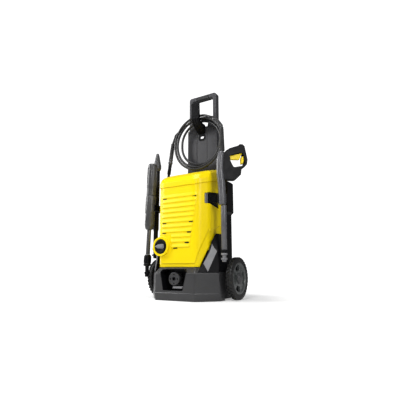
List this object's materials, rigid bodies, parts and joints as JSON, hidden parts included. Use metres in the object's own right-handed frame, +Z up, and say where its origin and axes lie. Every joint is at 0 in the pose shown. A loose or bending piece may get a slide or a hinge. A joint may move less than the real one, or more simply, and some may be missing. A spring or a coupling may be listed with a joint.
{
  "type": "pressure washer",
  "caption": "Upright electric pressure washer with a louvred housing, wheels, pull-out handle, hose coil on a tower, spray gun and lances in side holders.",
  "frame": {"origin": "centre of the foot's underside, on the floor", "axes": "+Z up, -Y towards the front with the switch and the outlet, +X to the right seen from the front"},
  "size_m": [0.4602, 0.278, 0.929],
  "materials": {
    "base_grey": "mould-textured dark grey",
    "cover_yellow": "satin gloss yellow",
    "panel_grey": "fine grained mid grey",
    "pale_grey": "satin light grey",
    "black_plastic": "fine grained black",
    "charcoal_plastic": "satin charcoal",
    "rubber": "matt black rubber",
    "tyre_black": "matt black with a moulded tread",
    "steel": "ground",
    "cast_metal": "as cast"
  },
  "bodies": {
    "housing": {"base_tub": "base_grey", "foot_pad_left": "rubber", "foot_pad_right": "rubber", "front_cover": "cover_yellow", "top_cap": "cover_yellow", "louvre_backing": "black_plastic", "cheek_right": "black_plastic", "cheek_left": "black_plastic", "rear_cover": "black_plastic", "power_cord_gland": "rubber", "tower": "panel_grey", "hose_hook": "black_plastic", "hook_tongue": "pale_grey", "switch_box": "charcoal_plastic", "outlet_coupling": "base_grey", "outlet_bracket": "pale_grey", "water_inlet": "charcoal_plastic", "inlet_filter": "pale_grey", "pump_head": "cast_metal", "piston_1": "steel", "piston_2": "steel", "piston_3": "steel", "motor_stator": "cast_metal", "axle": "steel", "lance_clip": "charcoal_plastic", "gun_bayonet": "pale_grey", "gun_barrel": "pale_grey", "gun_body": "pale_grey", "gun_handle": "black_plastic", "gun_holster": "charcoal_plastic", "holster_guide": "pale_grey", "hose_coil": "rubber", "hose_left_tail": "rubber", "hose_right_tail": "rubber", "hose_sleeve": "black_plastic", "hose_collar": "charcoal_plastic", "hose_plug": "black_plastic", "hose_strain_relief": "rubber"},
    "handle": {"telescopic_handle": "panel_grey", "handle_grip": "rubber"},
    "switch": {"switch_knob": "black_plastic"},
    "outlet_release": {"outlet_release_button": "pale_grey"},
    "wheel_left": {"tyre_left": "tyre_black", "rim_left": "charcoal_plastic", "hub_cap_left": "pale_grey"},
    "wheel_right": {"tyre_right": "tyre_black", "rim_right": "charcoal_plastic", "hub_cap_right": "pale_grey"},
    "rotor": {"rotor_shaft": "steel", "cooling_fan": "black_plastic", "wobble_plate": "steel"},
    "trigger": {"gun_trigger": "cover_yellow"},
    "lock": {"trigger_lock": "cover_yellow"},
    "vario_lance": {"vario_coupling": "black_plastic", "vario_tube": "charcoal_plastic", "vario_grip": "charcoal_plastic"},
    "vario_head": {"vario_nozzle_head": "black_plastic"},
    "jet_lance": {"jet_coupling": "black_plastic", "jet_tube": "black_plastic"},
    "jet_head": {"jet_cone": "charcoal_plastic"}
  },
  "joints": [
    {"name": "handle_slide", "type": "slide", "parent": "housing", "child": "handle", "axis": [0, 0, -1], "range_m": [0, 0.105]},
    {"name": "switch_turn", "type": "hinge", "parent": "housing", "child": "switch", "pos_m": [-0.074, -0.1, 0.206], "axis": [0, -1, 0], "range_deg": [0, 90]},
    {"name": "outlet_release_press", "type": "slide", "parent": "housing", "child": "outlet_release", "axis": [0, 1, 0], "range_m": [0, 0.004], "stiffness_N_per_m": 600},
    {"name": "wheel_left_spin", "type": "hinge", "parent": "housing", "child": "wheel_left", "pos_m": [-0.187, 0.04, 0.082], "axis": [1, 0, 0], "continuous": true},
    {"name": "wheel_right_spin", "type": "hinge", "parent": "housing", "child": "wheel_right", "pos_m": [0.187, 0.04, 0.082], "axis": [1, 0, 0], "continuous": true},
    {"name": "rotor_spin", "type": "hinge", "parent": "housing", "child": "rotor", "pos_m": [0, -0.018, 0.3], "axis": [0, 0, 1], "continuous": true},
    {"name": "trigger_pull", "type": "hinge", "parent": "housing", "child": "trigger", "pos_m": [0.23287, 0.00787, 0.572], "axis": [-0.7071, 0.7071, 0], "range_deg": [0, 7], "stiffness_Nm_per_rad": 2, "springref_deg": -5.73},
    {"name": "trigger_lock_slide", "type": "slide", "parent": "housing", "child": "lock", "axis": [-0.7071, 0.7071, 0], "range_m": [0, 0.003]},
    {"name": "vario_lance_lift", "type": "slide", "parent": "housing", "child": "vario_lance", "axis": [0.036, 0, 0.9994], "range_m": [0, 0.12]},
    {"name": "vario_head_twist", "type": "hinge", "parent": "vario_lance", "child": "vario_head", "pos_m": [-0.168, -0.064, 0.5], "axis": [0.036, 0, 0.9994], "range_deg": [0, 90]},
    {"name": "jet_lance_lift", "type": "slide", "parent": "housing", "child": "jet_lance", "axis": [0, 0, 1], "range_m": [0, 0.12]},
    {"name": "jet_head_twist", "type": "hinge", "parent": "jet_lance", "child": "jet_head", "pos_m": [-0.178, -0.015, 0.6], "axis": [0, 0, 1], "range_deg": [0, 90]}
  ]
}
